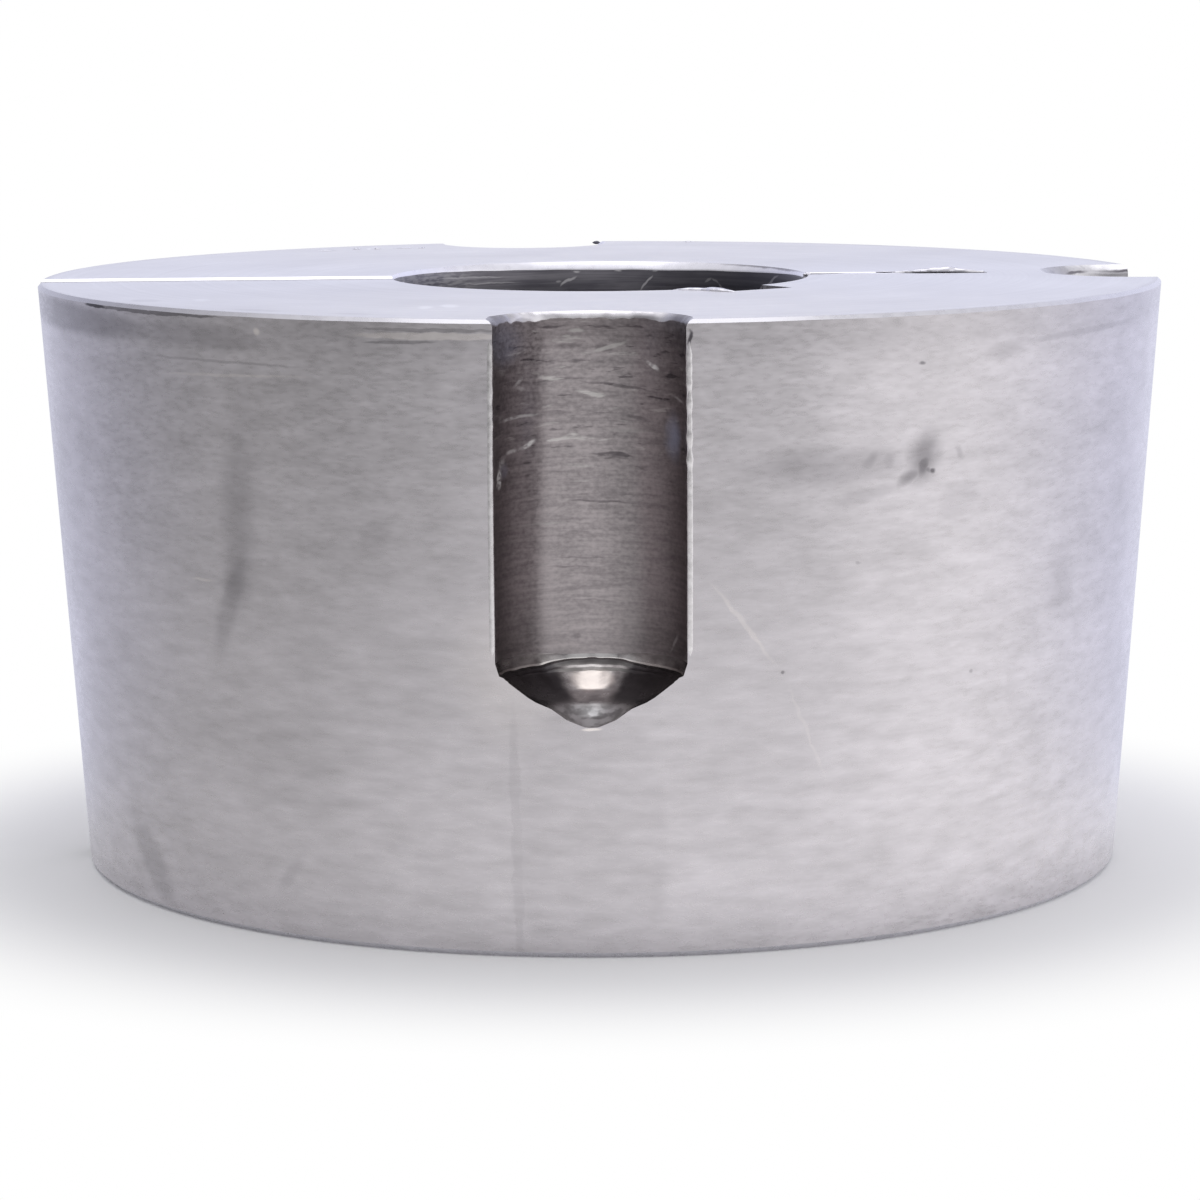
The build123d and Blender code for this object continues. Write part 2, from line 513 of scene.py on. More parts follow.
def drilled_finish(name, centre, radius, marked=False):
    """Drilled walls: brown-grey, with the lips' level marks, and torn most near the mouth.

    marked adds the front hole's own scratches and nicks, painted bluish reflections, and painted
    shade under its mouth.
    """
    steel = Steel(name, 0.6, centre, radius)
    marks = steel.streaks(steel.z, 3, 0.28, 3.0)
    specks = steel.grain(0.35, 0.35, 0.22, 3.0)
    tears = steel.streaks(steel.z, 2.6, 0.5, 4.0)
    near_mouth = steel.span(steel.z, LENGTH - 15 * MM, LENGTH - 8 * MM, 0.1, 1.0)
    bright = steel.math("MULTIPLY", steel.span(tears, 0.6, 0.72, 0.0, 0.8), near_mouth)
    deep = steel.math("MULTIPLY", steel.span(tears, 0.41, 0.29), near_mouth)
    tone = steel.total((marks, 0.5), (specks, 0.5))
    base = steel.colours(steel.span(tone, 0.3, 0.7), (0.30, 0.272, 0.28), (0.50, 0.453, 0.462))
    nicks = blue_reflection = 0.0
    if marked:
        bright = steel.most([
            bright,
            steel.mark(93.0, 43.1, 0.7, 0.2, 0.8, 8),
            steel.stroke((86.0, 41.5), (61.0, 42.5), 0.2, 0.7),
            steel.mark(118.0, 29.8, 2.6, 0.14, 0.3),
            steel.mark(60.0, 36.2, 2.4, 0.22, 0.3),
        ])
        nicks = steel.most([
            steel.stroke((49.0, 41.2), (40.5, 40.4), 0.24, 0.9, 0.3),
            steel.stroke((139.5, 39.3), (128.0, 40.2), 0.24, 0.5, 0.2),
            steel.stroke((137.5, 39.4), (126.0, 39.2), 0.22, 0.35, 0.2),
            steel.stroke((163.0, 37.15), (112.0, 37.5), 0.18, 0.65, 0.3),
            steel.stroke((150.0, 34.9), (133.0, 35.1), 0.24, 0.7, 0.3),
            steel.stroke((136.0, 35.0), (118.0, 35.7), 0.26, 0.95, 0.4),
            steel.stroke((158.0, 33.6), (147.0, 35.0), 0.45, 0.6, 0.2),
            steel.mark(157.0, 33.3, 0.6, 0.9, 1.0, 0, 0.5),
            steel.stroke((28.0, 39.0), (10.0, 38.4), 0.18, 0.5, 0.2),
            steel.stroke((33.0, 20.8), (18.0, 22.8), 0.2, 0.4, 0.2),
        ])
        torn = steel.span(steel.grain(0.7, 0.7, 0.3, 3.0), 0.38, 0.52, 0.4, 1.0)
        nicks = steel.math("MULTIPLY", nicks, torn)
        deep = steel.most([
            deep,
            steel.stroke((126.0, 39.6), (84.0, 39.9), 0.13, 0.5),
            steel.stroke((98.0, 39.7), (36.0, 38.9), 0.14, 0.6),
            steel.stroke((118.0, 37.6), (96.0, 37.4), 0.2, 0.45),
            steel.stroke((92.0, 37.2), (76.0, 37.4), 0.15, 0.4),
            steel.stroke((66.0, 37.3), (46.0, 36.9), 0.2, 0.5),
            steel.stroke((110.0, 42.0), (88.0, 42.2), 0.3, 0.35),
            steel.stroke((84.0, 42.2), (70.0, 41.7), 0.35, 0.5),
            steel.stroke((80.0, 34.3), (58.0, 34.2), 0.14, 0.25),
            steel.stroke((106.0, 31.35), (53.0, 31.2), 0.11, 0.6),
            steel.stroke((112.0, 27.4), (70.0, 27.3), 0.1, 0.4),
            steel.stroke((120.0, 26.8), (80.0, 26.7), 0.1, 0.35),
            steel.stroke((104.0, 24.4), (62.0, 24.3), 0.1, 0.3),
            steel.mark(95.0, 21.8, 0.5, 0.25, 0.4),
        ])
    colour = steel.colours(steel.math("MULTIPLY", deep, 0.75), base, (0.07, 0.06, 0.07))
    colour = steel.colours(steel.math("MULTIPLY", bright, 0.75), colour, (0.76, 0.74, 0.72))
    if marked:
        # painted bluish reflections of the room
        blue_reflection = steel.most([
            steel.mark(25.0, 36.0, 1.5, 2.3, 0.62, 0, 0.1),
            steel.mark(152.0, 42.3, 3.2, 1.9, 0.28),
            steel.mark(150.0, 33.8, 0.9, 0.8, 0.25),
        ])
        colour = steel.colours(blue_reflection, colour, (0.62, 0.68, 0.88))
        mouth_shade = steel.span(steel.z, LENGTH - 3.6 * MM, LENGTH - 1.2 * MM, 0.0, 0.35)
        colour = steel.colours(mouth_shade, colour, (0.1, 0.08, 0.085))
        colour = steel.colours(nicks, colour, (0.97, 0.96, 0.95))
    height = steel.total(
        (marks, 0.4), (specks, 0.3), (tears, 0.8), (bright, 1.2), (nicks, 1.2), (deep, -1.2)
    )
    roughness = steel.total(
        (steel.span(specks, 0.3, 0.7, 0.3, 0.42), 1.0), (nicks, 0.3), (blue_reflection, 0.25)
    )
    return steel.finish(colour, roughness, height, 5e-6)


def cone_finish(name, centre, radius):
    """The drill point: a lip with a painted highlight on its edge, painted shade at its sides, a
    painted highlight inwards, and a dented tip.
    """
    steel = Steel(name, 0.0, centre, radius)
    smears = steel.grain(1.1, 1.1, 0.6, 3.0)
    colour = steel.colours(steel.span(smears, 0.3, 0.7), (0.34, 0.32, 0.315), (0.62, 0.59, 0.58))
    inner = math.degrees(math.atan2(centre.y, centre.x)) + 180
    if inner > 180:
        inner -= 360
    shoulder = SHOULDER / MM

    def ring(share, reach, core, strength):
        """A ring at a share of the radius, which fades from its core to its reach."""
        away = steel.math("ABSOLUTE", steel.math("SUBTRACT", steel.radius, share * radius))
        return steel.span(away, reach * radius, core * radius, 0.0, strength)

    lip = steel.span(steel.radius, 0.955 * radius, 0.97 * radius)
    # painted shade at the sides of the point and in a ring below the lip
    painted_shade = steel.most([
        steel.mark(inner + 60, shoulder - 1.0, 5.2, 5.0, 0.9, core=0.7),
        steel.mark(inner - 60, shoulder - 1.0, 5.2, 5.0, 0.9, core=0.7),
        ring(0.925, 0.04, 0.02, 0.7),
    ])
    off_tip = steel.span(steel.radius, 0.3 * radius, 0.55 * radius)
    painted_shade = steel.math("MULTIPLY", off_tip, painted_shade)
    painted_shade = steel.math("MULTIPLY", painted_shade, steel.math("MULTIPLY_ADD", lip, -0.75, 1.0))
    colour = steel.colours(painted_shade, colour, (0.05, 0.045, 0.05))
    # a painted highlight along the lip's rounded edge
    colour = steel.colours(ring(0.962, 0.006, 0.003, 0.75), colour, (0.88, 0.84, 0.81))
    # a painted highlight where the point mirrors the lamp
    spot_highlight = steel.mark(inner, shoulder - 1.0, 2.4, 0.8, 0.85, core=0.6)
    colour = steel.colours(spot_highlight, colour, (0.74, 0.67, 0.63))
    crest = steel.mark(inner, shoulder + 0.6, 3.4, 2.0, 0.9, core=0.4)
    colour = steel.colours(steel.math("MULTIPLY", lip, crest), colour, (0.24, 0.235, 0.235))
    tip = steel.span(steel.radius, 0.5 * radius, 0.34 * radius)
    dents = steel.grain(0.8, 0.8, 0.5, 2.0)
    tip_colour = steel.colours(steel.span(dents, 0.36, 0.6), (0.3, 0.3, 0.305), (0.66, 0.66, 0.67))
    colour = steel.colours(steel.math("MULTIPLY", tip, 0.75), colour, tip_colour)
    roughness = steel.total((steel.span(smears, 0.3, 0.7, 0.18, 0.28), 1.0), (tip, 0.15))
    height = steel.total((smears, 1.0), (steel.math("MULTIPLY", dents, tip), 2.0))
    return steel.finish(colour, roughness, height, 12e-6)


def burr_finish(name, dark, light):
    """Raised burrs."""
    steel = Steel(name)
    rub = steel.grain(0.35, 0.35, 0.35, 2.0)
    colour = steel.colours(steel.span(rub, 0.3, 0.7), dark, light)
    return steel.finish(colour, steel.span(rub, 0.3, 0.7, 0.26, 0.36), rub, 1e-6)


taper_steel = taper_finish()
face_steel = face_finish()
# The marks listed last in these calls are painted shade where each corner faces away from the
# light; the lavender in the colours is a painted reflection of the bluish room.
rim_steel = edge_finish(
    "rim_steel", (0.63, 0.62, 0.66), (0.69, 0.68, 0.72), radius=LARGE_RADIUS,
    shade_marks=[(-154.0, 44.3, 30.0, 3.0, 0.4)],
)
bore_mouth_steel = edge_finish(
    "bore_mouth_steel", (0.76, 0.75, 0.81), (0.82, 0.81, 0.87), shade_marks=[(28.0, 44.44, 8.0, 0.2, 0.7)]
)
front_mouth_steel = edge_finish(
    "front_mouth_steel", (0.68, 0.66, 0.69), (0.80, 0.78, 0.81), FRONT_CENTRE, SCREW_RADIUS,
    shade_marks=[
        (164.0, 44.2, 4.4, 2.0, 0.85), (12.0, 44.2, 3.4, 2.0, 0.85), (108.0, 44.0, 1.2, 0.5, 0.35),
        (76.0, 44.0, 0.8, 0.5, 0.3), (130.0, 43.95, 1.4, 0.3, 0.5), (50.0, 44.0, 1.6, 0.4, 0.5),
    ],
)
mouth_steel = edge_finish("mouth_steel", (0.72, 0.71, 0.77), (0.82, 0.81, 0.87))
countersink_steel = edge_finish(
    "countersink_steel", (0.62, 0.61, 0.64), (0.78, 0.77, 0.80), JACK_CENTRE, THREAD_RADIUS,
    shade_marks=[
        (70.0, 43.97, 4.6, 0.2, 1.0), (122.0, 43.93, 1.6, 0.18, 0.9), (78.0, 43.7, 5.0, 0.22, 0.5),
        (142.0, 44.0, 3.4, 1.2, 0.45),
    ],
)
bore_steel = bore_finish()
sawn_steel = sawn_finish()
broached_steel = broached_finish()
front_steel = drilled_finish("drilled_steel", FRONT_CENTRE, SCREW_RADIUS, marked=True)
back_steel = drilled_finish("drilled_steel_back", BACK_CENTRE, SCREW_RADIUS)
tapped_steel = drilled_finish("tapped_steel", JACK_CENTRE, THREAD_RADIUS)
cone_steel = cone_finish("cone_steel", FRONT_CENTRE, SCREW_RADIUS)
back_cone_steel = cone_finish("cone_steel_back", BACK_CENTRE, SCREW_RADIUS)
jack_cone_steel = cone_finish("cone_steel_jack", JACK_CENTRE, THREAD_RADIUS)
burr_steel = burr_finish("burr_steel", (0.58, 0.56, 0.57), (0.72, 0.70, 0.71))
burr_dark_steel = burr_finish("burr_steel_dark", (0.05, 0.05, 0.07), (0.12, 0.12, 0.15))


# ---------------------------------------------------------------- shapes
def finished(name, bm, materials):
    """A linked object from a bmesh, smooth between its sharp corners, with its materials."""
    mesh = bpy.data.meshes.new(name)
    for face in bm.faces:
        face.smooth = True
    bm.to_mesh(mesh)
    bm.free()
    for material in materials:
        mesh.materials.append(material)
    made = bpy.data.objects.new(name, mesh)
    bpy.context.scene.collection.objects.link(made)
    return made


def lathe(name, profile_at, steps, materials, zone, centre=(0, 0), closed=False):
    """Skins one ring of (radius, z) points per step round a vertical axis.

    zone gives each face's place among the materials.
    """
    bm = bmesh.new()
    rings = []
    for i in range(steps):
        turn = math.tau * i / steps
        rings.append([
            bm.verts.new((centre[0] + r * math.cos(turn), centre[1] + r * math.sin(turn), z))
            for r, z in profile_at(turn)
        ])
    for ring, following in zip(rings, rings[1:] + rings[:1]):
        for j in range(len(ring) if closed else len(ring) - 1):
            k = (j + 1) % len(ring)
            bm.faces.new((ring[j], following[j], following[k], ring[k]))
    bmesh.ops.remove_doubles(bm, verts=bm.verts, dist=1e-7)
    bmesh.ops.recalc_face_normals(bm, faces=bm.faces)
    for face in bm.faces:
        face.material_index = zone(face)
    return finished(name, bm, materials)


def prism(name, outline, start, stop, turn, materials):
    """Runs an outline of (across, z) out along a ray from the axis, turned about it."""
    bm = bmesh.new()
    face = bm.faces.new([bm.verts.new((start, across, z)) for across, z in outline])
    run = bmesh.ops.extrude_face_region(bm, geom=[face])
    moved = [v for v in run["geom"] if isinstance(v, bmesh.types.BMVert)]
    bmesh.ops.translate(bm, verts=moved, vec=(stop - start, 0, 0))
    bmesh.ops.recalc_face_normals(bm, faces=bm.faces)
    bmesh.ops.rotate(bm, verts=bm.verts, matrix=Matrix.Rotation(turn, 3, "Z"))
    return finished(name, bm, materials)


def blank_profile(turn):
    """Section of the turned blank at one turn: its corner breaks waver a little."""
    rim = LARGE_EDGE * (1 + 0.12 * waver(turn, 9, 1))
    mouth = BORE_EDGE * (0.3 + 0.7 * math.cos(turn - MOUTH_WIDEST) ** 2 + 0.08 * waver(turn, 6, 2))
    mouth_corner = BORE_RADIUS + 0.06 * MM
    taper = [(taper_radius(z), z) for z in steps_between(SMALL_EDGE, LENGTH - rim, 30)]
    large_face = [
        (r, LENGTH) for r in steps_between(LARGE_RADIUS - rim, BORE_RADIUS + mouth, 12)
    ]
    bore = [(mouth_corner, LENGTH - mouth)]
    bore += [(BORE_RADIUS, z) for z in steps_between(LENGTH - mouth - 0.15 * MM, BORE_EDGE, 24)]
    small_face = [
        (r, 0.0)
        for r in steps_between(BORE_RADIUS + BORE_EDGE, taper_radius(0) - SMALL_EDGE, 12)
    ]
    return taper + large_face + bore + small_face


def blank_zone(face):
    """Ends, corners, bore or taper, by which way the face looks and where it is."""
    inside = face.calc_center_median().xy.length < BORE_RADIUS + BORE_EDGE
    if abs(face.normal.z) > 0.99:
        return 1
    if abs(face.normal.z) > 0.3:
        return 4 if inside else 2
    return 3 if inside else 0


def drill(name, centre, radius, mouth_break, materials, raggedness=0.0):
    """What the drill takes out: a rounded mouth, a round wall and a worn point."""
    bearing = math.atan2(centre.y, centre.x)

    def point_at(turn):
        sideways = eased(abs(math.sin(turn - bearing)), 0.2, 0.7)
        corners = []
        for share, back_drop, side_drop in WORN_POINT:
            drop = (back_drop + (side_drop - back_drop) * sideways) * MM
            if LIP_SHARE < share < 1:
                drop += LIP_WAVER * waver(turn, 7, 6)
            corners.append((radius * share, SHOULDER - drop))
        return corners[:1] + [
            (start[0] + (stop[0] - start[0]) * share, start[1] + (stop[1] - start[1]) * share)
            for start, stop in zip(corners, corners[1:]) for share in (0.12, 0.5, 0.88, 1.0)
        ]

    def profile_at(turn):
        mouth = mouth_break * (
            1 + raggedness * (0.7 * waver(turn, 4, 3) + 0.5 * waver(turn, 11, 4))
        )
        rounded = [
            (radius + mouth * out, LENGTH - mouth * down)
            for out, down in ((1, 0), (0.5, 0.29), (0.15, 0.75), (0, 1.3))
        ]
        point = point_at(turn)
        wall = [(radius, z) for z in steps_between(LENGTH - mouth * 1.5, point[0][1], 30)]
        top = [(0, LENGTH + CLEAR), (radius + mouth, LENGTH + CLEAR)]
        return top + rounded + wall + point[1:]

    def zone(face):
        out = (face.calc_center_median().xy - centre.xy).length / radius
        if out < 0.999:
            return 1
        return 2 if out > 1.001 else 0

    return lathe(name, profile_at, DRILL_STEPS, materials, zone, centre=centre[:2])


def slot_outline(width, edge):
    """Section of a saw cut right through, its long edges broken at both end faces."""
    half = width / 2
    right = [
        (half + edge + CLEAR, -CLEAR),
        (half, edge),
        (half, LENGTH - edge),
        (half + edge + CLEAR, LENGTH + CLEAR),
    ]
    return right + [(-across, z) for across, z in reversed(right)]


def cut(body, cutter):
    """Takes the cutter out of the body; the new faces keep the cutter's material."""
    step = body.modifiers.new("cut", "BOOLEAN")
    step.operation = "DIFFERENCE"
    step.solver = "EXACT"
    step.object = cutter
    step.material_mode = "TRANSFER"
    bpy.context.view_layer.objects.active = body
    bpy.ops.object.modifier_apply(modifier=step.name)
    bpy.data.objects.remove(cutter)


def bead(bm, path, outward, size_at, sides=8):
    """Adds a closed worm along a path; size_at gives its half-width and half-height."""
    rings = []
    for i, point in enumerate(path):
        along = path[min(i + 1, len(path) - 1)] - path[max(i - 1, 0)]
        across = along.cross(outward).normalized()
        width, height = size_at(i / (len(path) - 1))
        rings.append([
            bm.verts.new(
                point
                + across * width * math.cos(math.tau * k / sides)
                + outward * height * math.sin(math.tau * k / sides)
            )
            for k in range(sides)
        ])
    for ring, following in zip(rings, rings[1:]):
        for k in range(sides):
            near = (k + 1) % sides
            bm.faces.new((ring[k], ring[near], following[near], following[k]))
    bm.faces.new(rings[0])
    bm.faces.new(rings[-1])


def riding(piece):
    """Marks a dressed piece as part of the bush."""
    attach(piece, "root")
    return piece


def dressed_bush():
    """The whole bush as one mesh, in place of the solid."""
    bush = lathe(
        "dressed_bush", blank_profile, BLANK_STEPS,
        [taper_steel, face_steel, rim_steel, bore_steel, bore_mouth_steel], blank_zone,
        closed=True,
    )
    keyway = [
        (-KEYWAY_WIDTH / 2, -CLEAR), (KEYWAY_WIDTH / 2, -CLEAR),
        (KEYWAY_WIDTH / 2, LENGTH + CLEAR), (-KEYWAY_WIDTH / 2, LENGTH + CLEAR),
    ]
    split = slot_outline(SPLIT_WIDTH, SPLIT_EDGE)
    relief = slot_outline(RELIEF_WIDTH, RELIEF_EDGE)
    cut(bush, prism("keyway_cutter", keyway, 0, KEYWAY_REACH, KEYWAY_ANGLE, [broached_steel]))
    cut(bush, prism("split_cutter", split, 0, LARGE_RADIUS + CLEAR, math.pi, [sawn_steel]))
    cut(bush, prism("relief_cutter", relief, 0, RELIEF_REACH, 0, [sawn_steel]))
    cut(bush, drill(
        "front_drill", FRONT_CENTRE, SCREW_RADIUS, MOUTH_BREAK,
        [front_steel, cone_steel, front_mouth_steel], FRONT_RAGGEDNESS,
    ))
    cut(bush, drill(
        "back_drill", BACK_CENTRE, SCREW_RADIUS, MOUTH_BREAK,
        [back_steel, back_cone_steel, mouth_steel], BACK_RAGGEDNESS,
    ))
    cut(bush, drill(
        "jack_drill", JACK_CENTRE, THREAD_RADIUS, COUNTERSINK,
        [tapped_steel, jack_cone_steel, countersink_steel],
    ))
    bush.data.set_sharp_from_angle(angle=SHARP_ANGLE)
    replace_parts(riding(bush), "taper_bush")


def opening_angle(centre, radius, outside):
    """Half the angle of a half-hole's circle that lies outside a radius from the axis."""
    away = centre.xy.length
    return math.acos((outside ** 2 - away ** 2 - radius ** 2) / (2 * away * radius))


def notch_edge(centre, radius, z, side):
    """Where a half-hole's wall meets the taper at a height; side is -1 or 1."""
    turn = math.atan2(centre.y, centre.x) + side * opening_angle(centre, radius, taper_radius(z))
    return Vector((centre.x + radius * math.cos(turn), centre.y + radius * math.sin(turn), z))


def notch_burrs():
    """The rolled lips down both edges of each half-hole, lumpy where the drill broke out."""
    bm = bmesh.new()
    lumpiness = {
        ("front", -1): 0.25, ("front", 1): 1.0, ("back", -1): 0.5, ("back", 1): 0.4,
        ("jack", -1): 0.3, ("jack", 1): 0.3,
    }
    holes = {
        "front": (FRONT_CENTRE, SCREW_RADIUS), "back": (BACK_CENTRE, SCREW_RADIUS),
        "jack": (JACK_CENTRE, THREAD_RADIUS),
    }
    for seed, ((hole, side), lumps) in enumerate(lumpiness.items()):
        centre, radius = holes[hole]
        low, high = SHOULDER + 0.6 * MM, LENGTH - 0.7 * MM
        path = []
        for z in steps_between(low, high, 110):
            edge = notch_edge(centre, radius, z, side)
            outward = Vector((edge.x, edge.y, 0)).normalized()
            sideways = Vector((-outward.y, outward.x, 0)) * side
            path.append(edge + sideways * 0.19 * MM - outward * 0.1 * MM)

        def size_at(share):
            upper = min(1.0, 0.2 + 2 * max(0.0, share - 0.4))
            lump = lumps * upper * noise.noise(Vector((share * 30, seed, 0)))
            ends = min(1.0, share * 20, (1 - share) * 20)
            return 0.23 * MM * ends * (1 + 0.7 * lump), 0.15 * MM * ends * (1 + 0.5 * lump)

        bead(bm, path, outward, size_at)
    bmesh.ops.recalc_face_normals(bm, faces=bm.faces)
    riding(finished("notch_burrs", bm, [burr_steel]))


def raised_burrs(name, material, burrs):
    """Burrs that stand a few tenths of a millimetre above the large end face.

    Each is a ridge between two (x, y) places, highest at its middle, then its half-width, its
    height and how jagged it is. All are in millimetres.
    """
    bm = bmesh.new()
    for seed, (start, stop, half_width, height, jaggedness) in enumerate(burrs):
        path = [
            Vector((
                start[0] + (stop[0] - start[0]) * share,
                start[1] + (stop[1] - start[1]) * share
                + 0.5 * half_width * noise.noise(Vector((share * 7, seed, 5))),
                LENGTH / MM,
            )) * MM
            for share in steps_between(0, 1, 30)
        ]

        def size_at(share):
            swell = math.sin(math.pi * min(max(share, 0.02), 0.98))
            jag = 1 + jaggedness * noise.noise(Vector((share * 6, seed, 0)))
            return half_width * MM * swell * jag, height * MM * swell * jag

        bead(bm, path, Vector((0, 0, 1)), size_at)
    bmesh.ops.recalc_face_normals(bm, faces=bm.faces)
    riding(finished(name, bm, [material]))


def thread_ridges():
    """The jacking hole's thread: a ridge for each turn, cut off just inside the taper.

    Each ridge climbs by half the pitch on its way across the half-hole.
    """
    bm = bmesh.new()
    root = THREAD_RADIUS + 0.08 * MM  # sunk in the wall
    section = [
        (root, -0.47 * THREAD_PITCH), (THREAD_CREST, -0.08 * THREAD_PITCH),
        (THREAD_CREST, 0.08 * THREAD_PITCH), (root, 0.47 * THREAD_PITCH),
    ]
    top = LENGTH - COUNTERSINK - 0.25 * THREAD_PITCH
    for turn in range(THREAD_TURNS):
        rings = []
        for share in steps_between(-1, 1, 48):
            ring = []
            for radius, rise in section:
                z = top - THREAD_PITCH * (turn + 0.5 - share / 4) + rise
                opening = opening_angle(JACK_CENTRE, radius, taper_radius(z) - THREAD_INSET)
                bearing = math.pi + share * (math.pi - opening)
                ring.append(bm.verts.new((
                    JACK_CENTRE.x + radius * math.cos(bearing),
                    JACK_CENTRE.y + radius * math.sin(bearing),
                    z,
                )))
            rings.append(ring)
        for ring, following in zip(rings, rings[1:]):
            for k in range(4):
                near = (k + 1) % 4
                bm.faces.new((ring[k], ring[near], following[near], following[k]))
        bm.faces.new(rings[0])
        bm.faces.new(rings[-1])
    bmesh.ops.recalc_face_normals(bm, faces=bm.faces)
    ridges = riding(finished("thread_ridges", bm, [tapped_steel]))
    ridges.data.set_sharp_from_angle(angle=SHARP_ANGLE)


dressed_bush()
notch_burrs()
raised_burrs("face_burrs", mouth_steel, [
    # along the relief cut, and at its corner with the bore
    ((24.1, RELIEF_SIDE + 0.4), (29.5, RELIEF_SIDE + 0.35), 0.4, 0.34, 0.45),
    ((21.4, RELIEF_SIDE + 0.1), (23.2, RELIEF_SIDE + 0.1), 0.25, 0.06, 0.5),
    ((23.2, RELIEF_SIDE + 0.3), (26.0, RELIEF_SIDE + 0.3), 0.3, 0.10, 0.5),
    ((16.4, -RELIEF_SIDE + 0.3), (24.6, -RELIEF_SIDE + 0.3), 0.62, 0.03, 0.35),
    ((15.6, -RELIEF_SIDE), (16.3, -RELIEF_SIDE + 0.2), 0.2, 0.16, 0.5),
    # over the keyway's left corner
    ((4.3, -15.5), (7.6, -16.6), 0.35, 0.18, 0.12),
    ((5.9, -15.6), (8.8, -18.7), 0.45, 0.25, 0.12),
    # nicks thrown up along the far rim
    ((-21.5, 33.0), (-20.1, 33.0), 0.3, 0.08, 0.5),
    ((-18.5, 34.8), (-17.7, 34.8), 0.3, 0.09, 0.5),
    ((-16.7, 34.6), (-16.1, 34.6), 0.3, 0.14, 0.5),
    ((-15.1, 35.6), (-13.3, 35.6), 0.3, 0.07, 0.5),
    ((-12.9, 35.4), (-12.3, 35.4), 0.3, 0.08, 0.5),
    ((10.1, 40.5), (11.1, 40.5), 0.3, 0.08, 0.5),
])
raised_burrs("corner_burr", burr_dark_steel, [((2.25, 40.45), (2.95, 41.0), 0.24, 0.14, 0.2)])
thread_ridges()

# ---------------------------------------------------------------- studio
CAMERA_BEARING = math.radians(-94.0)  # from the bush
CAMERA_PLACE = (-23.1 * MM, -327.6 * MM, 67.4 * MM)
CAMERA_PAN, CAMERA_PITCH, CAMERA_ROLL = (math.radians(turn) for turn in (-4.02, -8.343, -0.272))
CAMERA_LENS = 128.1
CAMERA_SENSOR = 36.0

LAMP_PLACE = (0.0, 0.045, 0.6)
LAMP_TARGET = (0.0, 0.0, 0.04)
LAMP_WIDTH = 0.5
LAMP_RADIANCE = 0.8

# Distances from the axis, in metres: where the floor turns from shaded to plain white, as the
# camera sees it and as the steel mirrors it, and over which its mirrored level changes from the
# room's to that of the floor close by
SHADED_TO_WHITE = (0.044, 0.068)
MIRRORED_TO_WHITE = (0.036, 0.055)
ROOM_TO_CLOSE = (0.197, 0.119)

ROOM_PEAK = 1.4  # the ramps hold levels up to 1, so the room's are divided by this first

# How light the room is: bearing in degrees right of the camera as seen from the bush, then the
# level at the horizon and the level of the floor close by
ROOM_LEVELS = [
    (-180, 0.97, 0.97), (-150, 0.80, 0.92), (-136, 0.67, 0.88), (-122, 0.60, 0.75),
    (-107, 0.48, 0.72), (-91, 0.43, 0.70), (-65, 0.42, 0.68), (-50, 0.36, 0.73),
    (-40, 0.35, 0.82), (-25, 0.42, 0.95), (0, 0.58, 1.14), (25, 0.54, 1.13), (40, 0.65, 1.18),
    (44, 0.85, 1.30), (55, 1.00, 1.32), (66, 1.09, 1.28), (80, 1.11, 1.19),
    (107, 1.03, 1.04), (126, 0.96, 0.91), (142, 0.95, 0.98), (180, 0.97, 0.97),
]


def room_light(graph, direction, closeness=None):
    """Colour of the room along a direction; closeness mixes in the floor close by."""
    x, y, _ = graph.parts(direction)
    turns = graph.math("DIVIDE", graph.math("ARCTAN2", y, x), math.tau)
    share = graph.math("FRACT", graph.math("ADD", turns, 0.5 - CAMERA_BEARING / math.tau))
    levels = [
        graph.ramp(share, [(row[0] / 360 + 0.5, row[column] / ROOM_PEAK) for row in ROOM_LEVELS])
        for column in (1, 2)
    ]
    level = levels[0] if closeness is None else graph.colours(closeness, levels[0], levels[1])
    behind = graph.span(graph.math("ABSOLUTE", graph.math("SUBTRACT", share, 0.5)), 0.19, 0.38)
    tint = graph.colours(behind, (1.0, 0.997, 1.003), (0.97, 0.99, 1.16))
    scaled = graph.node("VectorMath", operation="SCALE")
    graph.feed(scaled.inputs[0], graph.colours(1.0, level, tint, blend="MULTIPLY"))
    scaled.inputs["Scale"].default_value = ROOM_PEAK
    return scaled.outputs["Vector"]


def build_floor():
    """A pale floor that shades under the bush and fades into the white backdrop around it; in the
    steel it glows with the room's light as a painted reflection.
    """
    bm = bmesh.new()
    bmesh.ops.create_circle(bm, cap_ends=True, segments=96, radius=2.0)
    material = bpy.data.materials.new("floor_white")
    material.use_nodes = True
    graph = Graph(material.node_tree)
    shader = graph.tree.nodes["Principled BSDF"]
    shader.inputs["Base Color"].default_value = (0.9, 0.9, 0.9, 1)
    shader.inputs["Roughness"].default_value = 0.9
    place = graph.node("TexCoord").outputs["Object"]
    away = graph.node("VectorMath", operation="LENGTH")
    graph.feed(away.inputs[0], place)
    distance = away.outputs["Value"]
    path = graph.node("LightPath")
    glow = graph.node("Emission")
    mirrored = path.outputs["Is Glossy Ray"]
    # the room's light that the floor gives off in the steel: a painted reflection
    room_glow = room_light(graph, place, graph.span(distance, *ROOM_TO_CLOSE))
    graph.feed(glow.inputs["Color"], graph.colours(mirrored, (1, 1, 1), room_glow))
    seen = graph.most([
        path.outputs["Is Camera Ray"], mirrored, path.outputs["Is Transmission Ray"]
    ])
    begins, ends = (
        graph.math("MULTIPLY_ADD", mirrored, in_steel - to_camera, to_camera)
        for to_camera, in_steel in zip(SHADED_TO_WHITE, MIRRORED_TO_WHITE)
    )
    mix = graph.node("MixShader")
    graph.feed(mix.inputs["Fac"], graph.math("MULTIPLY", seen, graph.span(distance, begins, ends)))
    graph.feed(mix.inputs[1], shader.outputs["BSDF"])
    graph.feed(mix.inputs[2], glow.outputs["Emission"])
    graph.feed(graph.tree.nodes["Material Output"].inputs["Surface"], mix.outputs["Shader"])
    finished("floor", bm, [material])


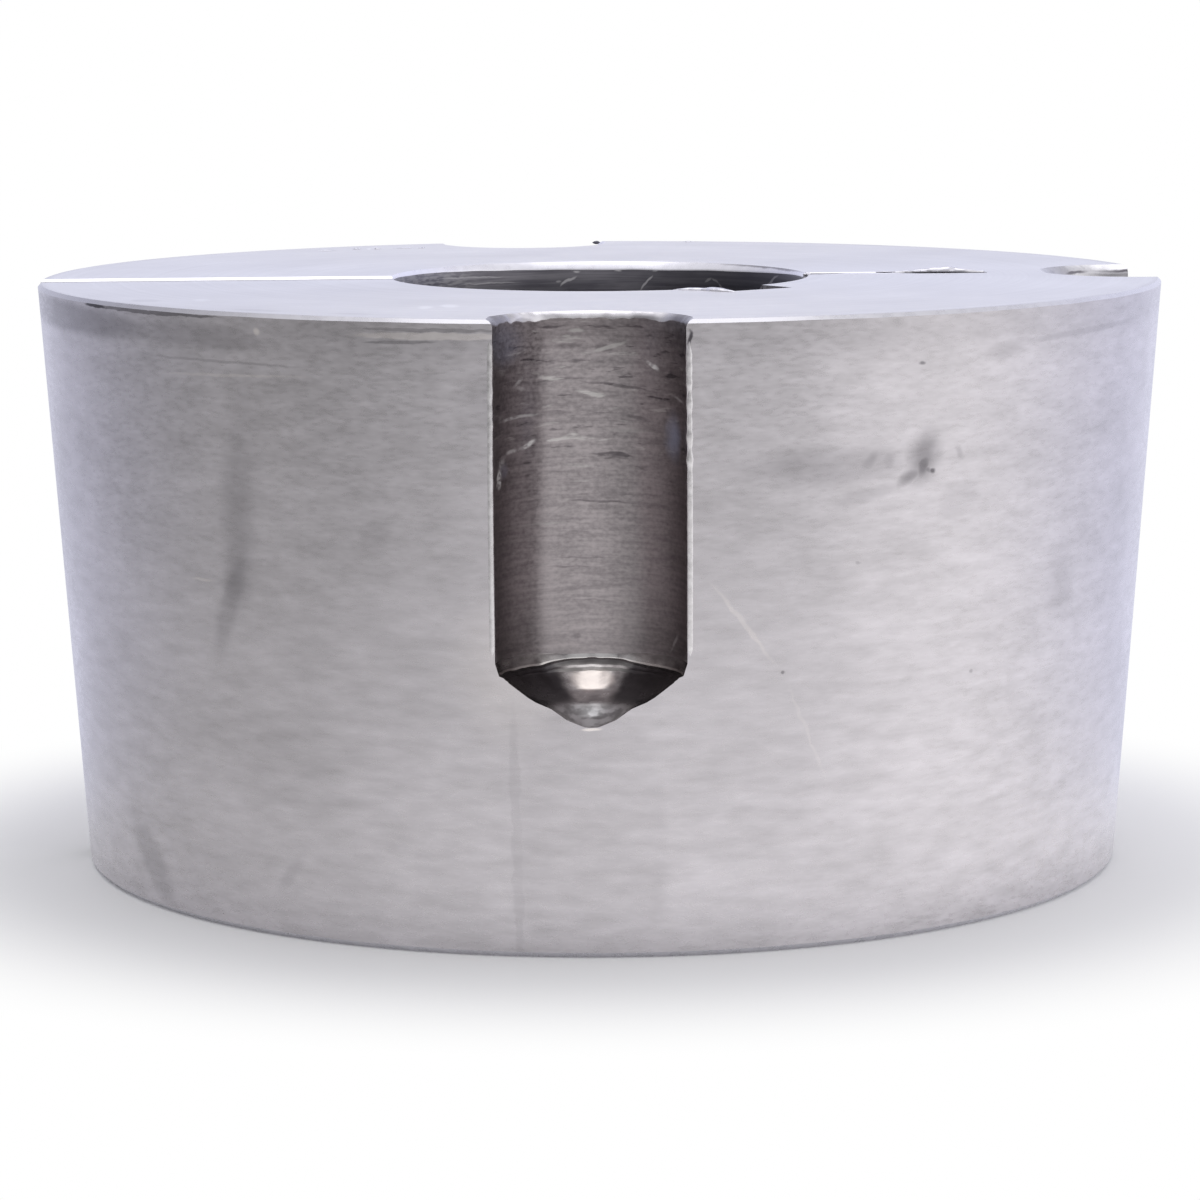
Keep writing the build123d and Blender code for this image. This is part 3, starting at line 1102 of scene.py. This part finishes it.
def build_world():
    """White behind the bush to the camera; to everything else a soft room, dimmer front left."""
    world = bpy.data.worlds.new("studio")
    bpy.context.scene.world = world
    world.use_nodes = True
    graph = Graph(world.node_tree)
    room = graph.tree.nodes["Background"]
    direction = graph.node("TexCoord").outputs["Generated"]
    overhead = graph.span(graph.parts(direction)[2], 0.35, 0.8)
    graph.feed(
        room.inputs["Color"],
        graph.colours(overhead, room_light(graph, direction), (0.88, 0.88, 0.91)),
    )
    backdrop = graph.node("Background")
    backdrop.inputs["Color"].default_value = (1, 1, 1, 1)
    path = graph.node("LightPath")
    mix = graph.node("MixShader")
    graph.feed(
        mix.inputs["Fac"],
        graph.most([path.outputs["Is Camera Ray"], path.outputs["Is Transmission Ray"]]),
    )
    graph.feed(mix.inputs[1], room.outputs["Background"])
    graph.feed(mix.inputs[2], backdrop.outputs["Background"])
    graph.feed(graph.tree.nodes["World Output"].inputs["Surface"], mix.outputs["Shader"])


def build_lamp():
    """One broad soft lamp overhead."""
    data = bpy.data.lights.new("overhead", "AREA")
    data.shape = "SQUARE"
    data.size = LAMP_WIDTH
    data.energy = LAMP_RADIANCE * math.pi * LAMP_WIDTH * LAMP_WIDTH
    lamp = bpy.data.objects.new("overhead", data)
    lamp.location = LAMP_PLACE
    aim = Vector(LAMP_TARGET) - Vector(LAMP_PLACE)
    lamp.rotation_euler = aim.to_track_quat("-Z", "Y").to_euler()
    bpy.context.scene.collection.objects.link(lamp)


def build_camera():
    """The camera, before the front screw hole and looking a little down on the large end."""
    data = bpy.data.cameras.new("camera")
    data.lens = CAMERA_LENS
    data.sensor_width = CAMERA_SENSOR
    camera = bpy.data.objects.new("camera", data)
    camera.location = CAMERA_PLACE
    camera.rotation_euler = (
        Matrix.Rotation(CAMERA_PAN, 3, "Z")
        @ Matrix.Rotation(math.radians(90) + CAMERA_PITCH, 3, "X")
        @ Matrix.Rotation(CAMERA_ROLL, 3, "Z")
    ).to_euler()
    bpy.context.scene.collection.objects.link(camera)
    bpy.context.scene.camera = camera


build_floor()
build_world()
build_lamp()
build_camera()
bpy.context.scene.view_settings.view_transform = "Standard"
